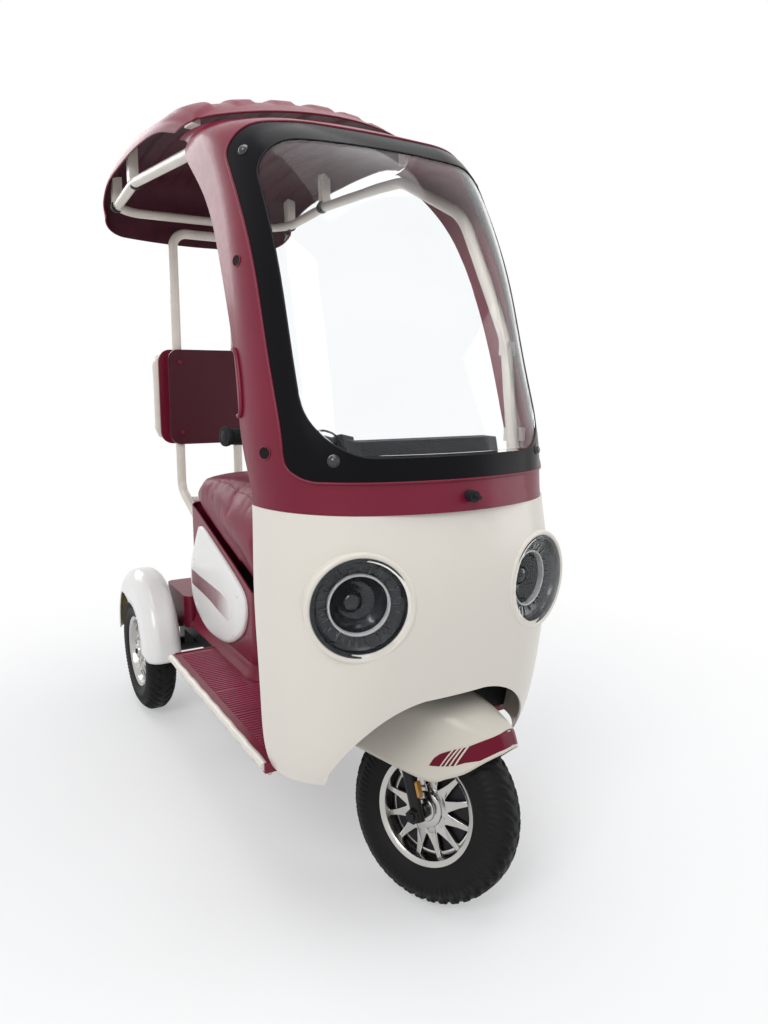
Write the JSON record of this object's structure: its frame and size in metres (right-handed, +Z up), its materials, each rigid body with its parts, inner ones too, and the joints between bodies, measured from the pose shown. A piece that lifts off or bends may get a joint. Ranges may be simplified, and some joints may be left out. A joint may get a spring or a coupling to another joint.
{
  "type": "electric tricycle",
  "caption": "Electric tricycle with one steered front wheel, a windscreen hood, a roof, a saddle over a seat box and a backrest.",
  "frame": {"origin": "on the ground, at the middle of the vehicle's width and length", "axes": "+X to the vehicle's left, -Y forward, +Z up"},
  "size_m": [0.668, 1.6998, 1.7431],
  "materials": {
    "tyre": "satin",
    "rim": "polished",
    "cream_paint": "gloss",
    "cream_shell": "gloss",
    "white_shell": "gloss",
    "maroon_shell": "gloss",
    "maroon_soft": "satin",
    "cream_soft": "satin",
    "black_plastic": "matte",
    "black_border": "gloss",
    "dark_metal": "satin",
    "clear_screen": "gloss",
    "lens": "gloss",
    "lamp_black": "gloss",
    "lamp_white": "gloss",
    "red_lens": "gloss",
    "amber_lens": "gloss",
    "grip_rubber": "matte"
  },
  "bodies": {
    "chassis": {"fairing": "cream_shell", "leg_shield": "black_plastic", "dash_panel": "black_plastic", "display": "black_plastic", "lamp_bowl_left": "lamp_black", "lamp_bowl_right": "lamp_black", "lamp_lens_left": "lens", "lamp_lens_right": "lens", "lamp_rings": "lamp_white", "screen_surround": "maroon_shell", "screen_border": "black_border", "screen_pane": "clear_screen", "roof": "maroon_shell", "roof_frame": "cream_paint", "seat_back_frame": "cream_paint", "back_front_board": "maroon_shell", "back_rear_board": "maroon_shell", "back_cushion": "cream_soft", "seat_box": "maroon_shell", "side_panel_left": "white_shell", "side_panel_right": "white_shell", "battery": "black_plastic", "footboard": "maroon_shell", "sills": "cream_paint", "frame": "dark_metal", "rear_axle": "dark_metal", "rear_motor": "dark_metal", "rear_fender_left": "white_shell", "rear_fender_right": "white_shell", "tail_body": "maroon_shell", "tail_lamps": "red_lens", "wiper_spindle": "black_plastic"},
    "steering": {"fork": "dark_metal", "front_fender": "cream_shell", "handlebar": "dark_metal", "grips": "grip_rubber", "levers": "dark_metal", "fork_reflectors": "amber_lens"},
    "front_wheel": {"front_tyre": "tyre", "front_rim": "rim"},
    "rear_wheel_right": {"rear_tyre_right": "tyre", "rear_rim_right": "rim"},
    "rear_wheel_left": {"rear_tyre_left": "tyre", "rear_rim_left": "rim"},
    "saddle": {"saddle": "maroon_soft"}
  },
  "joints": [
    {"name": "steer", "type": "hinge", "parent": "chassis", "child": "steering", "pos_m": [0, -0.63439, 0.18013], "axis": [0, 0.4337, 0.9011], "range_deg": [-61.5, 8.5]},
    {"name": "front_wheel_spin", "type": "hinge", "parent": "steering", "child": "front_wheel", "pos_m": [0.01664, -0.66447, 0.1946], "axis": [0.8949, 0.4021, -0.1935], "continuous": true},
    {"name": "rear_wheel_right_spin", "type": "hinge", "parent": "chassis", "child": "rear_wheel_right", "pos_m": [-0.278, 0.592, 0.195], "axis": [1, 0, 0], "continuous": true},
    {"name": "rear_wheel_left_spin", "type": "hinge", "parent": "chassis", "child": "rear_wheel_left", "pos_m": [0.278, 0.592, 0.195], "axis": [1, 0, 0], "continuous": true},
    {"name": "saddle_lid", "type": "hinge", "parent": "chassis", "child": "saddle", "pos_m": [0, -0.123, 0.5358], "axis": [1, 0, 0], "range_deg": [0, 35]}
  ]
}
